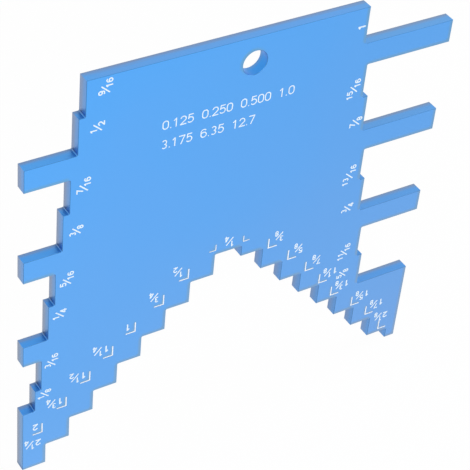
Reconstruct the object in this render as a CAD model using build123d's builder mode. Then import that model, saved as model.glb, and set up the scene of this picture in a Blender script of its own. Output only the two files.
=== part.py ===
import os
from build123d import *

os.makedirs("parts", exist_ok=True)

# Gauge plate for saw heights and router depths, in millimetres.
# X runs along the plate's width, Y through its thickness, and Z up from the leg tips.
# The engraved face looks along -Y. The origin is under the middle of the plate, at the leg tips.

# Sheet
thickness = 3.175
edge_break = 0.1
inner_corner_radius = 0.3
overrun = 2.0

# Saw stairs, which climb from the two legs to a slot in the middle
stair_run = 6.35
stair_rise = 6.35
right_first_rise = 3.175
left_leg_width = 6.2
right_leg_width = 3.0
slot_width = 7.5
left_stair_count = 7
right_stair_count = 8

# Router bays and the tabs between them, counted from the leg up
depth_increment = 1.5875
left_least_depth = 3.175
right_least_depth = 15.875
shoulder_drop = 9.4
tab_width = 6.15
tab_count = 3
bay_height = 19.5
left_leg_height = 19.05
left_lowest_bay = 15.85
left_top_bay = 19.0
right_leg_height = 24.4

# Hanging hole
hole_radius = 3.175
hole_below_top = 7.0
hole_right_of_middle = 0.4

# Corner marks: white filling in shallow grooves, one beside each stair
groove_depth = 0.2
filling_sink = 0.03
mark_height = 3.1
mark_length = 2.65
mark_stroke = 0.31
slot_mark_arm = 1.85
slot_mark_stroke = 0.22

# Place of each mark from the inner corner of its stair, as shares of the run and the rise.
# The first is the stair next to the leg, and the last is the slot.
left_mark_run_shares = (-0.14, -0.14, -0.16, -0.22, -0.29, -0.12, -0.10, 0.02)
left_mark_rise_shares = (0.73, 0.70, 0.63, 0.54, 0.39, 0.31, 0.23, 0.20)
right_mark_run_shares = (-0.48, -0.33, -0.18, -0.35, -0.05, 0.17, 0.23, 0.22, 0.03)
right_mark_rise_shares = (0.15, 0.31, 0.16, 0.17, 0.10, 0.04, -0.02, -0.07, 0.20)

# Worked out from the sizes above
stairs_width = (left_stair_count + right_stair_count) * stair_run
width = left_leg_width + stairs_width + slot_width + right_leg_width
left_reference = -width / 2
right_reference = width / 2
left_stairs_start = left_reference + left_leg_width
right_stairs_start = right_reference - right_leg_width
slot_left = left_stairs_start + left_stair_count * stair_run
slot_right = slot_left + slot_width
slot_top = (left_stair_count + 1) * stair_rise
tab_pitch = tab_width + bay_height
left_first_tab = left_leg_height + left_lowest_bay
right_first_tab = right_leg_height + bay_height
height = left_first_tab + tab_count * tab_pitch - bay_height + left_top_bay
hole_height = height - hole_below_top


def left_ceiling(stair):
    """Height under a left stair, counted from 1 beside the leg."""
    return stair * stair_rise


def right_ceiling(stair):
    """Height under a right stair, counted from 1 beside the leg."""
    return right_first_rise + (stair - 1) * stair_rise


def bay_heights(leg_height, first_tab):
    """Bottom and top of each router bay on one side, from the leg up."""
    tabs = [first_tab + tab * tab_pitch for tab in range(tab_count)]
    bottoms = [leg_height] + [tab + tab_width for tab in tabs]
    tops = tabs + [height]
    return list(zip(bottoms, tops))


def cut_away(x_low, x_high, z_low, z_high):
    """Take a rectangle out of the open sketch."""
    with Locations(((x_low + x_high) / 2, (z_low + z_high) / 2)):
        Rectangle(x_high - x_low, z_high - z_low, mode=Mode.SUBTRACT)


def cut_stairs():
    """Open the stairs and the slot between the two legs."""
    for stair in range(1, left_stair_count + 1):
        start = left_stairs_start + (stair - 1) * stair_run
        cut_away(start, start + stair_run, -overrun, left_ceiling(stair))
    cut_away(slot_left, slot_right, -overrun, slot_top)
    for stair in range(1, right_stair_count + 1):
        end = right_stairs_start - (stair - 1) * stair_run
        cut_away(end - stair_run, end, -overrun, right_ceiling(stair))


def cut_bay(side, bay, bottom, top, least_depth):
    """Open one router bay, which is one increment deeper above its shoulder."""
    reference = side * width / 2
    lower_depth = least_depth + 2 * bay * depth_increment
    upper_depth = lower_depth + depth_increment
    shoulder = top - shoulder_drop
    outside = reference + side * overrun
    lower = sorted((outside, reference - side * lower_depth))
    upper = sorted((outside, reference - side * upper_depth))
    open_above = overrun if top == height else 0
    if side > 0 and top == height:
        # The last right bay is the deepest reading, with no shoulder
        cut_away(*lower, bottom, top + open_above)
        return
    cut_away(*lower, bottom, shoulder)
    cut_away(*upper, shoulder, top + open_above)


def is_inner_corner(corner, sheet):
    """True where three of the four quarters round a corner are metal."""
    probe = inner_corner_radius / 2
    quarters = [(corner.X + i * probe, corner.Y + j * probe) for i in (-1, 1) for j in (-1, 1)]
    return sum(sheet.is_inside(Vector(*quarter)) for quarter in quarters) == 3


def left_mark_places():
    """Outer corner of each left mark, from the leg to the slot."""
    places = []
    for index, (run_share, rise_share) in enumerate(zip(left_mark_run_shares, left_mark_rise_shares)):
        corner_x = left_stairs_start + index * stair_run
        corner_z = left_ceiling(index + 1)
        places.append((corner_x + run_share * stair_run, corner_z + rise_share * stair_rise))
    return places


def right_mark_places():
    """Outer corner of each right mark, from the leg to the slot."""
    places = []
    for index, (run_share, rise_share) in enumerate(zip(right_mark_run_shares, right_mark_rise_shares)):
        corner_x = right_stairs_start - index * stair_run
        corner_z = right_ceiling(index + 1) if index < right_stair_count else slot_top
        places.append((corner_x + run_share * stair_run, corner_z + rise_share * stair_rise))
    return places


def draw_mark(x, z, side, arm_up, arm_along, stroke):
    """An L with its corner at x, z, one arm up and one towards the given side."""
    with Locations((x + side * stroke / 2, z + arm_up / 2)):
        Rectangle(stroke, arm_up)
    with Locations((x + side * arm_along / 2, z + stroke / 2)):
        Rectangle(arm_along, stroke)


def draw_marks(places, side):
    """All marks of one side; the last one, at the slot, is smaller."""
    for x, z in places[:-1]:
        draw_mark(x, z, side, mark_height, mark_length, mark_stroke)
    x, z = places[-1]
    draw_mark(x, z, side, slot_mark_arm, slot_mark_arm, slot_mark_stroke)


engraved_plane = Plane.XZ.offset(thickness / 2)
filling_plane = Plane.XZ.offset(thickness / 2 - filling_sink)

# Gauge plate
with BuildPart() as gauge_plate:
    with BuildSketch(Plane.XZ) as outline:
        Rectangle(width, height, align=(Align.CENTER, Align.MIN))
        cut_stairs()
        for bay, (bottom, top) in enumerate(bay_heights(left_leg_height, left_first_tab)):
            cut_bay(-1, bay, bottom, top, left_least_depth)
        for bay, (bottom, top) in enumerate(bay_heights(right_leg_height, right_first_tab)):
            cut_bay(1, bay, bottom, top, right_least_depth)
        sheet = outline.sketch_local.face()
        inner_corners = [corner for corner in outline.vertices() if is_inner_corner(corner, sheet)]
        fillet(inner_corners, radius=inner_corner_radius)
        with Locations((hole_right_of_middle, hole_height)):
            Circle(hole_radius, mode=Mode.SUBTRACT)
    extrude(amount=thickness / 2, both=True)
    chamfer(gauge_plate.faces().filter_by(Axis.Y).edges(), length=edge_break)
    with BuildSketch(engraved_plane):
        draw_marks(left_mark_places(), -1)
        draw_marks(right_mark_places(), 1)
    extrude(amount=-groove_depth, mode=Mode.SUBTRACT)
gauge_plate.part.label = "gauge_plate"
export_step(gauge_plate.part, "parts/gauge_plate.step")

# White filling of the marks beside the left stairs
with BuildPart() as left_corner_marks:
    with BuildSketch(filling_plane):
        draw_marks(left_mark_places(), -1)
    extrude(amount=filling_sink - groove_depth)
left_corner_marks.part.label = "left_corner_marks"
export_step(left_corner_marks.part, "parts/left_corner_marks.step")

# White filling of the marks beside the right stairs
with BuildPart() as right_corner_marks:
    with BuildSketch(filling_plane):
        draw_marks(right_mark_places(), 1)
    extrude(amount=filling_sink - groove_depth)
right_corner_marks.part.label = "right_corner_marks"
export_step(right_corner_marks.part, "parts/right_corner_marks.step")
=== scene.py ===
import math

import bmesh
import bpy
from mathutils import Matrix, Quaternion, Vector


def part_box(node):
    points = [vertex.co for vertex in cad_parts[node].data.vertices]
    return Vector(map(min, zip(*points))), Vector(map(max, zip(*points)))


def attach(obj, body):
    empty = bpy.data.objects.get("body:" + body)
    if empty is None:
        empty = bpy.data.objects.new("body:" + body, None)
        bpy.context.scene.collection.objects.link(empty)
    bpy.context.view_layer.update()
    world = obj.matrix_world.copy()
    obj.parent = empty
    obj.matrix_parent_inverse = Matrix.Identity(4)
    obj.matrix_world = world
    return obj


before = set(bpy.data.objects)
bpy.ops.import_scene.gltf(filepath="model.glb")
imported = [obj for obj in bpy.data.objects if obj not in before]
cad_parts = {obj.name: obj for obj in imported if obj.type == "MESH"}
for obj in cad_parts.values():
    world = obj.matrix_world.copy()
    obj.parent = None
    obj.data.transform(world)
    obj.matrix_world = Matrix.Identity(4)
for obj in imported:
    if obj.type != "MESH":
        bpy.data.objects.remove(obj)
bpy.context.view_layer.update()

# Flat blue gauge plate with white corner marks and numbers, in metres.
# The plate stands on its two leg tips, and its engraved face looks along -Y.

millimetre = 0.001
plate_low, plate_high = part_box("gauge_plate")
plate_left = plate_low.x
plate_bottom = plate_low.z
plate_face = plate_low.y
plate_width, plate_thickness, plate_height = plate_high - plate_low

# Hanging hole
hole_radius = 0.003175
hole_below_top = 0.007
hole_right_of_middle = 0.0004
hole_middle = (hole_right_of_middle, 0, plate_high.z - hole_below_top)

# Reach of the painted shade along the two edges of an inner corner, and of the greyer band
# in from the outline of a face. Both are found with a few rays.
corner_reach = 0.0025
outline_reach = 0.0012
reach_rays = 8

# Colours of the blue sheet, painted shading, sheen, light and shade among them. A tint multiplies the
# colour under it.
# Level edges look up or down, and upright edges look left or right.
# Painted shading: the face runs from face_above to face_below downwards and is tinted paler and greyer to
# the right
face_above = (0.083, 0.393, 0.919, 1)
face_below = (0.135, 0.401, 0.859, 1)
face_right_shading_tint = (1.09, 0.91, 0.89, 1)
outline_tint = (1.45, 0.93, 0.69, 1)
# Level edges: the deeper left front and the tint below are painted shade, the paler back is partly the
# cut's own finish and partly a painted sheen, and the right bays tint is painted light
level_front_left = (0.062, 0.339, 0.790, 1)
level_front_right = (0.090, 0.323, 0.730, 1)
level_back = (0.165, 0.250, 0.420, 1)
level_below_shade_tint = (0.70, 0.82, 0.96, 1)
right_bays_light_tint = (1.04, 1.00, 0.93, 1)
# Upright edges: the paler backs, palest on the left, are partly the cut's own finish and partly a painted
# sheen, and the left leg tint is a painted sheen
upright_front = (0.096, 0.318, 0.710, 1)
upright_back_left = (0.220, 0.300, 0.470, 1)
upright_back_right = (0.175, 0.305, 0.560, 1)
left_leg_sheen_tint = (1.04, 0.97, 0.88, 1)
# Painted shade: the inner corners, the bore and the edge breaks are darker
inner_corner_shade_tint = (0.03, 0.38, 0.62, 1)
bore_front = (0.036, 0.312, 0.815, 1)
bore_back = (0.105, 0.300, 0.640, 1)
edge_break_shade_tint = (0.40, 0.60, 0.75, 1)

# Whites: thick where they cover the blue, and thin where they cover less of it
filling_thick = (0.88, 0.90, 0.89, 1)
filling_thin = (0.80, 0.84, 0.86, 1)
film_thick = (0.72, 0.81, 0.87, 1)
film_thin = (0.62, 0.75, 0.84, 1)

# Patterns of the finishes, in repeats per metre, and how deep their bumps are
cloud_repeats = (22, 22, 22)
cutter_line_repeats = (60, 4200, 60)
grain_repeats = 9000.0
speck_repeats = 2500.0
bump_depth = 0.00002

# White film of the numbers, on the engraved face
film_height = 0.00003
film_seat = 0.00002

# Digits, in shares of their height, and the step of their arcs
digit_width = 0.68
stroke_share = 0.18
thin_stroke_share = 0.11
arc_step = math.radians(12)

# Numbers beside the bays and stairs
fraction_digit = 0.00168
fraction_pitch = 0.00130
over_across = 0.00069
over_up = 0.00094
under_across = 0.00087
under_up = 0.00089
slash_across = 0.00186
slash_up = 0.00207
whole_digit = 0.00202
whole_across = 0.00225
whole_up = 0.00008

# Plain numbers above the stairs, in two lines, with their points set closer
line_digit = 0.0024
line_pitch = 0.00187
point_share = 0.7


class Link:
    """A socket of a material, so that shader maths reads as an expression."""

    def __init__(self, tree, socket=None):
        self.tree = tree
        self.socket = socket

    def node(self, kind, inputs=(), output=0, **settings):
        """Add a node, with its settings first and its sockets after, and give back one output."""
        made = self.tree.nodes.new("ShaderNode" + kind)
        for name, value in settings.items():
            setattr(made, name, value)
        for place, value in dict(inputs).items():
            if isinstance(value, Link):
                self.tree.links.new(value.socket, made.inputs[place])
            else:
                made.inputs[place].default_value = value
        return Link(self.tree, made.outputs[output]) if len(made.outputs) else made

    def maths(self, operation, *values):
        return self.node("Math", enumerate(values), operation=operation)

    def __add__(self, other):
        return self.maths("ADD", self, other)

    def __radd__(self, other):
        return self.maths("ADD", other, self)

    def __sub__(self, other):
        return self.maths("SUBTRACT", self, other)

    def __rsub__(self, other):
        return self.maths("SUBTRACT", other, self)

    def __mul__(self, other):
        return self.maths("MULTIPLY", self, other)

    def __abs__(self):
        return self.maths("ABSOLUTE", self)

    def between(self, low, high):
        """0 up to low, 1 from high on, and smooth in between."""
        return self.node("MapRange", {"Value": self, "From Min": low, "From Max": high},
                         interpolation_type="SMOOTHSTEP")

    def blend(self, first, second, **settings):
        """A colour that goes from first to second as this value goes from 0 to 1."""
        return self.node("Mix", {0: self, 6: first, 7: second}, output=2, data_type="RGBA", **settings)

    def tint(self, color, dye):
        """A colour that is multiplied by dye as this value goes from 0 to 1."""
        return self.blend(color, dye, blend_type="MULTIPLY")

    def part(self, axis):
        """One coordinate of a vector."""
        return self.node("SeparateXYZ", {"Vector": self}, output=axis)


def new_material(name):
    material = bpy.data.materials.new(name)
    material.use_nodes = True
    material.node_tree.nodes.clear()
    return material, Link(material.node_tree)


def blue_anodised():
    """Satin dyed sheet with fine cutter lines, painted shading on its face, cut edges paler partly by their
    finish and partly by a painted sheen, and painted shade in its corners, bore and edge breaks.
    """
    material, start = new_material("blue_anodised")
    place = start.node("TexCoord", output="Object")
    facing = start.node("TexCoord", output="Normal")
    frontness = abs(facing.part("Y"))
    cut_edge = 1 - frontness.between(0.25, 0.6)
    edge_break = frontness.between(0.3, 0.6) * (1 - frontness.between(0.8, 0.95))
    side_edge = abs(facing.part("X")).between(0.3, 0.9)
    depth = (place.part("Y") - plate_face) * (1 / plate_thickness)

    # Wide, faint changes of dye, and grain as fine as the satin
    cloud_place = start.node("Mapping", {"Vector": place, "Scale": cloud_repeats})
    cloud = start.node("TexNoise", {"Vector": cloud_place, "Scale": 1.0, "Detail": 3.0})
    grain = start.node("TexNoise", {"Vector": place, "Scale": grain_repeats, "Detail": 2.0})

    # Cutter lines along the edges, which only change across the sheet
    line_place = start.node("Mapping", {"Vector": place, "Scale": cutter_line_repeats})
    lines = start.node("TexNoise", {"Vector": line_place, "Scale": 1.0, "Detail": 3.0})

    # Painted shading: the face is painted deepest at the top left corner and paler and greyer downwards and
    # to the right
    rightwards = place.part("X") * (1 / plate_width) + 0.5
    downwards = 1 - place.part("Z") * (1 / plate_height)
    clouded = (cloud - 0.5) * 0.5
    face = (downwards + clouded).blend(face_above, face_below)
    face = (rightwards + clouded * 0.5).tint(face, face_right_shading_tint)

    # The edges pale towards the back, partly the cut's own finish and partly a painted sheen that is
    # stronger on upright edges and the left leg; painted shade darkens them downwards and in the left bays,
    # and painted light brightens the right bays
    past_left_bays = rightwards.between(0.10, 0.18)
    right_bays = rightwards.between(0.70, 0.80)
    streaked_depth = depth + (lines - 0.5) * 0.5
    level_front = past_left_bays.blend(level_front_left, level_front_right)
    level_front = downwards.tint(level_front, level_below_shade_tint)
    level_edge = streaked_depth.between(0.42, 1.02).blend(level_front, level_back)
    level_edge = right_bays.tint(level_edge, right_bays_light_tint)
    upright_back = past_left_bays.blend(upright_back_left, upright_back_right)
    upright_edge = streaked_depth.between(0.1, 0.9).blend(upright_front, upright_back)
    left_leg_side = downwards.between(0.3, 0.7) * (1 - past_left_bays)
    upright_edge = left_leg_side.tint(upright_edge, left_leg_sheen_tint)
    edge = side_edge.blend(level_edge, upright_edge)

    # Painted shade: the inner corners of the left side are darkened
    openness = start.node("AmbientOcclusion", {"Distance": corner_reach}, output=1, samples=reach_rays)
    left_corner = (1 - openness.between(0.57, 0.76)) * (1 - rightwards.between(0.5, 0.6))
    edge = left_corner.tint(edge, inner_corner_shade_tint)

    # The face is painted a little greyer in a fine band along its right and lower outline
    up_left = start.node("CombineXYZ", {"X": -0.7071, "Z": 0.7071})
    within = start.node("AmbientOcclusion", {"Distance": outline_reach, "Normal": up_left}, output=1,
                        samples=reach_rays, inside=True, only_local=True)
    face = (1 - within.between(0.66, 0.90)).tint(face, outline_tint)

    # Painted shade: the hanging hole's bore is painted deep, and so are the small breaks along every edge
    from_hole = start.node("VectorMath", {0: place, 1: hole_middle}, output=1, operation="DISTANCE")
    bore = streaked_depth.between(0.5, 1.0).blend(bore_front, bore_back)
    edge = from_hole.between(1.3 * hole_radius, 1.5 * hole_radius).blend(bore, edge)
    color = cut_edge.blend(face, edge)
    color = edge_break.tint(color, edge_break_shade_tint)
    roughness = 0.40 + (cloud - 0.5) * 0.06 + cut_edge * 0.02 + (lines - 0.5) * cut_edge * 0.15
    height = grain * 0.35 + lines * cut_edge
    bump = start.node("Bump", {"Height": height, "Strength": 0.25, "Distance": bump_depth})
    shader = start.node("BsdfPrincipled", {
        "Base Color": color, "Roughness": roughness, "Metallic": 0.9, "Normal": bump,
        "Coat Weight": 0.3, "Coat Roughness": 0.25,
    })
    start.node("OutputMaterial", {"Surface": shader})
    return material


def matt_white(name, thick, thin):
    """Matt white, a little uneven in colour and gloss."""
    material, start = new_material(name)
    place = start.node("TexCoord", output="Object")
    speck = start.node("TexNoise", {"Vector": place, "Scale": speck_repeats, "Detail": 3.0})
    color = speck.between(0.35, 0.75).blend(thick, thin)
    bump = start.node("Bump", {"Height": speck, "Strength": 0.3, "Distance": bump_depth})
    shader = start.node("BsdfPrincipled", {
        "Base Color": color, "Roughness": 0.6 + (speck - 0.5) * 0.2, "Normal": bump,
    })
    start.node("OutputMaterial", {"Surface": shader})
    return material


def new_object(name, bm, *materials):
    """A mesh object at the origin, made of a bmesh."""
    mesh = bpy.data.meshes.new(name)
    bm.to_mesh(mesh)
    bm.free()
    made = bpy.data.objects.new(name, mesh)
    bpy.context.scene.collection.objects.link(made)
    for material in materials:
        mesh.materials.append(material)
    return made


def digit_strokes(stroke):
    """Strokes of each digit, one unit high, on the line through each stroke's middle.

    A bar goes from one point to another. An arc has its middle, its radius and two angles in degrees.
    """
    foot = left = stroke / 2
    right = digit_width - left
    middle = digit_width / 2
    head = 1 - foot
    bowl = middle - left
    low_bowl = foot + bowl
    high_bowl = head - bowl
    ring = (head - foot) / 4
    low_ring = foot + ring
    high_ring = head - ring
    stem = 0.7 * digit_width
    return {
        "0": (("bar", (left, low_bowl), (left, high_bowl)),
              ("bar", (right, low_bowl), (right, high_bowl)),
              ("arc", (middle, high_bowl), bowl, 0, 180),
              ("arc", (middle, low_bowl), bowl, 180, 360)),
        "1": (("bar", (middle + 0.03, 0), (middle + 0.03, 1)),
              ("bar", (0.12, 0.73), (middle + 0.02, 0.93))),
        "2": (("arc", (middle, high_bowl), bowl, -30, 168),
              ("bar", (right - 0.03, high_bowl - 0.12), (0.09, 0.09)),
              ("bar", (0, foot), (digit_width, foot))),
        "3": (("arc", (middle, high_ring), ring, -90, 150),
              ("arc", (middle, low_ring), ring, -150, 90)),
        "4": (("bar", (stem - 0.01, 0.95), (0.06, 0.29)),
              ("bar", (0, 0.27), (digit_width, 0.27)),
              ("bar", (stem, 0), (stem, 1))),
        "5": (("bar", (0.12, head), (digit_width - 0.06, head)),
              ("bar", (0.16, 0.98), (0.11, 0.47)),
              ("arc", (middle - 0.01, low_bowl + 0.01), bowl + 0.01, -150, 142)),
        "6": (("arc", (middle, low_bowl), bowl, 0, 360),
              ("bar", (left, low_bowl), (left, high_bowl)),
              ("arc", (middle, high_bowl), bowl, 35, 180)),
        "7": (("bar", (0, head), (digit_width, head)),
              ("bar", (right - 0.01, 0.93), (0.24, 0))),
        "8": (("arc", (middle, high_ring), ring, 0, 360),
              ("arc", (middle, low_ring), ring, 0, 360)),
        "9": (("arc", (middle, high_bowl), bowl, 0, 360),
              ("bar", (right, low_bowl), (right, high_bowl)),
              ("arc", (middle, low_bowl), bowl, -145, 0)),
        ".": (("bar", (middle - left, foot), (middle + left, foot)),),
    }


def bar(bm, stroke, start, end):
    """A straight stroke, one unit deep, on the line from start to end."""
    run = Vector(end) - Vector(start)
    centre = (Vector(end) + Vector(start)) / 2
    verts = bmesh.ops.create_cube(bm, size=1)["verts"]
    bmesh.ops.scale(bm, vec=(run.length, 1, stroke), verts=verts)
    bmesh.ops.rotate(bm, cent=(0, 0, 0), verts=verts,
                     matrix=Matrix.Rotation(-math.atan2(run.y, run.x), 3, "Y"))
    bmesh.ops.translate(bm, vec=(centre.x, 0, centre.y), verts=verts)


def arc(bm, stroke, centre, radius, start, end):
    """A curved stroke, one unit deep, spun round its centre from start to end."""
    closed = end - start == 360
    angle = math.radians(end - start)
    corners = [bm.verts.new((radius + i * stroke / 2, j / 2, 0))
               for i, j in ((-1, -1), (1, -1), (1, 1), (-1, 1))]
    section = bm.faces.new(corners)
    bmesh.ops.rotate(bm, cent=(0, 0, 0), verts=corners,
                     matrix=Matrix.Rotation(-math.radians(start), 3, "Y"))
    geom = list(section.edges) + corners
    if not closed:
        geom.append(section)
    bmesh.ops.spin(bm, geom=geom, cent=(0, 0, 0), axis=(0, -1, 0), angle=angle,
                   steps=max(2, round(angle / arc_step)), use_merge=closed)
    if closed:
        bmesh.ops.delete(bm, geom=[section], context="FACES_ONLY")
    bmesh.ops.recalc_face_normals(bm, faces=bm.faces)
    bmesh.ops.translate(bm, vec=(centre[0], 0, centre[1]), verts=bm.verts)


def stroke_object(stroke, kind, *values):
    bm = bmesh.new()
    if kind == "bar":
        bar(bm, stroke, *values)
    else:
        arc(bm, stroke, *values)
    return new_object("stroke", bm)


def joined_mesh(stroke, strokes):
    """One closed mesh of several strokes."""
    first, *rest = [stroke_object(stroke, *values) for values in strokes]
    for other in rest:
        joined = first.modifiers.new("join", "BOOLEAN")
        joined.operation = "UNION"
        joined.solver = "EXACT"
        joined.object = other
    depsgraph = bpy.context.evaluated_depsgraph_get()
    mesh = bpy.data.meshes.new_from_object(first.evaluated_get(depsgraph))
    for made in (first, *rest):
        bpy.data.meshes.remove(made.data)
    return mesh


def digit_set(stroke):
    return {character: joined_mesh(stroke, strokes) for character, strokes in digit_strokes(stroke).items()}


bold_digits = digit_set(stroke_share)
thin_digits = digit_set(thin_stroke_share)
half_slash = Vector((slash_across, slash_up)) / fraction_digit / 2
slash = joined_mesh(stroke_share, [("bar", -half_slash, half_slash)])


def add_film(bm, mesh, matrix):
    """Add a copy of a flat mesh at its place on the engraved face."""
    before = set(bm.verts)
    bm.from_mesh(mesh)
    bmesh.ops.transform(bm, matrix=matrix, verts=[v for v in bm.verts if v not in before])


def film_matrix(x, z, turn, across, up, size):
    """Place of a digit: its middle lies across and up from x, z in the direction of reading."""
    depth = film_height + film_seat
    base = Matrix.Translation((plate_left + x, plate_face - film_height + depth / 2, plate_bottom + z))
    turned = Matrix.Rotation(-math.radians(turn), 4, "Y")
    moved = Matrix.Translation((across - digit_width * size / 2, 0, up - size / 2))
    scaled = Matrix.Diagonal((size, depth, size, 1))
    return base @ turned @ moved @ scaled


def add_digits(bm, text, x, z, turn, across, up, size, pitch):
    """A run of digits whose middle lies across and up from x, z."""
    for index, character in enumerate(text):
        shift = (index - (len(text) - 1) / 2) * pitch
        add_film(bm, bold_digits[character], film_matrix(x, z, turn, across + shift, up, size))


def add_slash(bm, x, z, turn):
    """The slanting bar of a fraction, with its middle at x, z."""
    matrix = film_matrix(x, z, turn, digit_width * fraction_digit / 2, fraction_digit / 2, fraction_digit)
    add_film(bm, slash, matrix)


def add_number(bm, turn, whole, fraction, x, z, over_more=0, under_more=0):
    """A reading such as 1 3/4: its fraction's middle is at x, z, and its whole number stands before it."""
    if fraction:
        over, under = fraction.split("/")
        over_middle = -over_across - over_more - (len(over) - 1) * fraction_pitch / 2
        under_middle = under_across + under_more + (len(under) - 1) * fraction_pitch / 2
        add_digits(bm, over, x, z, turn, over_middle, over_up, fraction_digit, fraction_pitch)
        add_slash(bm, x, z, turn)
        add_digits(bm, under, x, z, turn, under_middle, -under_up, fraction_digit, fraction_pitch)
    if whole:
        before = -whole_across if fraction else 0
        add_digits(bm, whole, x, z, turn, before, whole_up, whole_digit, line_pitch)


# Readings and their places, in millimetres from the left end of the left leg tip.
# Two more lengths set the digits over and under the slash further from it.
router_left = (
    ("", "9/16", 18.85, 107.97),
    ("", "1/2", 17.27, 98.55),
    ("", "7/16", 14.38, 83.16),
    ("", "3/8", 12.93, 71.54),
    ("", "5/16", 10.87, 57.38),
    ("", "1/4", 9.22, 47.92),
    ("", "3/16", 7.32, 33.31),
    ("", "1/8", 5.68, 23.74),
)
router_right = (
    ("1", "", 84.85, 106.37),
    ("", "15/16", 85.12, 89.05, 0.23),
    ("", "7/8", 87.30, 78.91),
    ("", "13/16", 87.86, 62.57, 0.33, 0.39),
    ("", "3/4", 88.84, 52.04),
    ("", "11/16", 90.03, 37.13, -0.25),
    ("", "5/8", 90.62, 29.80),
)
saw_left = (
    ("", "1/4", 54.43, 53.68),
    ("", "1/2", 40.58, 49.12),
    ("", "3/4", 34.39, 43.43),
    ("1", "", 27.50, 36.55),
    ("1", "1/4", 19.67, 31.92),
    ("1", "1/2", 13.69, 25.67),
    ("1", "3/4", 7.59, 19.70),
    ("2", "", 3.32, 13.63),
    ("2", "1/4", 1.88, 8.09),
)
saw_right = (
    ("", "3/8", 69.01, 50.22),
    ("", "5/8", 75.39, 44.01),
    ("", "7/8", 81.56, 38.08),
    ("1", "1/8", 85.75, 32.05),
    ("1", "3/8", 90.25, 26.08),
    ("1", "5/8", 97.65, 19.69),
    ("1", "7/8", 103.11, 14.50),
    ("2", "1/8", 105.39, 9.01),
)
plain_lines = (
    ("0.125 0.250 0.500 1.0", 33.38, 94.09),
    ("3.175 6.35 12.7", 33.38, 88.79),
)


def number_piece(name, turn, labels, white):
    bm = bmesh.new()
    for whole, fraction, *lengths in labels:
        add_number(bm, turn, whole, fraction, *(length * millimetre for length in lengths))
    return new_object(name, bm, white)


def plain_number_piece(name, white):
    bm = bmesh.new()
    for text, x, z in plain_lines:
        across = digit_width * line_digit / 2
        for character, follower in zip(text, text[1:] + " "):
            if character != " ":
                matrix = film_matrix(x * millimetre, z * millimetre, 0, across, 0, line_digit)
                add_film(bm, thin_digits[character], matrix)
            across += line_pitch * (point_share if "." in (character, follower) else 1)
    return new_object(name, bm, white)


blue = blue_anodised()
filling = matt_white("white_filling", filling_thick, filling_thin)
film = matt_white("white_film", film_thick, film_thin)
finishes = {"gauge_plate": blue, "left_corner_marks": filling, "right_corner_marks": filling}
for name, material in finishes.items():
    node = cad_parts[name]
    node.data.materials.clear()
    node.data.materials.append(material)

pieces = [
    number_piece("left_router_numbers", 90, router_left, film),
    number_piece("right_router_numbers", 90, router_right, film),
    number_piece("left_saw_numbers", 180, saw_left, film),
    number_piece("right_saw_numbers", 180, saw_right, film),
    plain_number_piece("plain_numbers", film),
]
for piece in pieces:
    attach(piece, "root")

# Floor and background: white where they are seen, and a weaker light on the plate
floor_reach = 6
paper_grey = (0.86, 0.86, 0.86, 1)
glow_share = 0.975
daylight = 0.45


def seen_or_mirrored(start):
    """1 for what the camera sees itself, in metal or through glass, and 0 for the light on the plate."""
    total = 0
    for ray in ("Is Camera Ray", "Is Glossy Ray", "Is Transmission Ray"):
        total = total + start.node("LightPath", output=ray)
    return total.between(0, 1)


def white_floor():
    """White where it is seen, with the plate's shadow left faintly on it."""
    material, start = new_material("white_floor")
    paper = start.node("BsdfDiffuse", {"Color": paper_grey})
    glow = start.node("Emission", {"Color": (1, 1, 1, 1), "Strength": 1.0})
    shader = start.node("MixShader", {0: seen_or_mirrored(start) * glow_share, 1: paper, 2: glow})
    start.node("OutputMaterial", {"Surface": shader})
    return material


floor_mesh = bmesh.new()
bmesh.ops.create_grid(floor_mesh, x_segments=1, y_segments=1, size=floor_reach)
floor = new_object("floor", floor_mesh, white_floor())

world = bpy.data.worlds.new("studio")
bpy.context.scene.world = world
world.use_nodes = True
world.node_tree.nodes.clear()
sky = Link(world.node_tree)
sky_strength = daylight + seen_or_mirrored(sky) * (1 - daylight)
background = sky.node("Background", {"Color": (1, 1, 1, 1), "Strength": sky_strength})
sky.node("OutputWorld", {"Surface": background})

# Height that the lamps and the camera are turned to, at the middle of the plate
aim_height = 0.055145


def lamp(name, place, size, watts):
    """A soft square lamp at place, turned to the middle of the plate."""
    data = bpy.data.lights.new(name, "AREA")
    data.size = size
    data.energy = watts
    made = bpy.data.objects.new(name, data)
    made.location = place
    made.rotation_euler = (Vector((0, 0, aim_height)) - Vector(place)).to_track_quat("-Z", "Y").to_euler()
    bpy.context.scene.collection.objects.link(made)


lamp("front_lamp", place=(-0.3, -1.35, 0.45), size=0.9, watts=12.0)
lamp("right_lamp", place=(2.2, 0.0, 1.45), size=1.4, watts=44.0)

# Camera, at the photograph's angle
camera_aim = Vector((-0.000209, plate_face, aim_height))
camera_distance = 0.407151
camera_turn = math.radians(34.979)
camera_down = math.radians(39.226)
camera_roll = math.radians(6.089)

look = Vector((
    math.sin(camera_turn) * math.cos(camera_down),
    math.cos(camera_turn) * math.cos(camera_down),
    -math.sin(camera_down),
))
camera_data = bpy.data.cameras.new("camera")
camera_data.sensor_width = 36
camera_data.lens = 130.289
camera_data.clip_start = 0.01
camera = bpy.data.objects.new("camera", camera_data)
camera.location = camera_aim - look * camera_distance
camera.rotation_mode = "QUATERNION"
camera.rotation_quaternion = look.to_track_quat("-Z", "Y") @ Quaternion((0, 0, 1), camera_roll)
bpy.context.scene.collection.objects.link(camera)
bpy.context.scene.camera = camera
bpy.context.scene.view_settings.view_transform = "Standard"
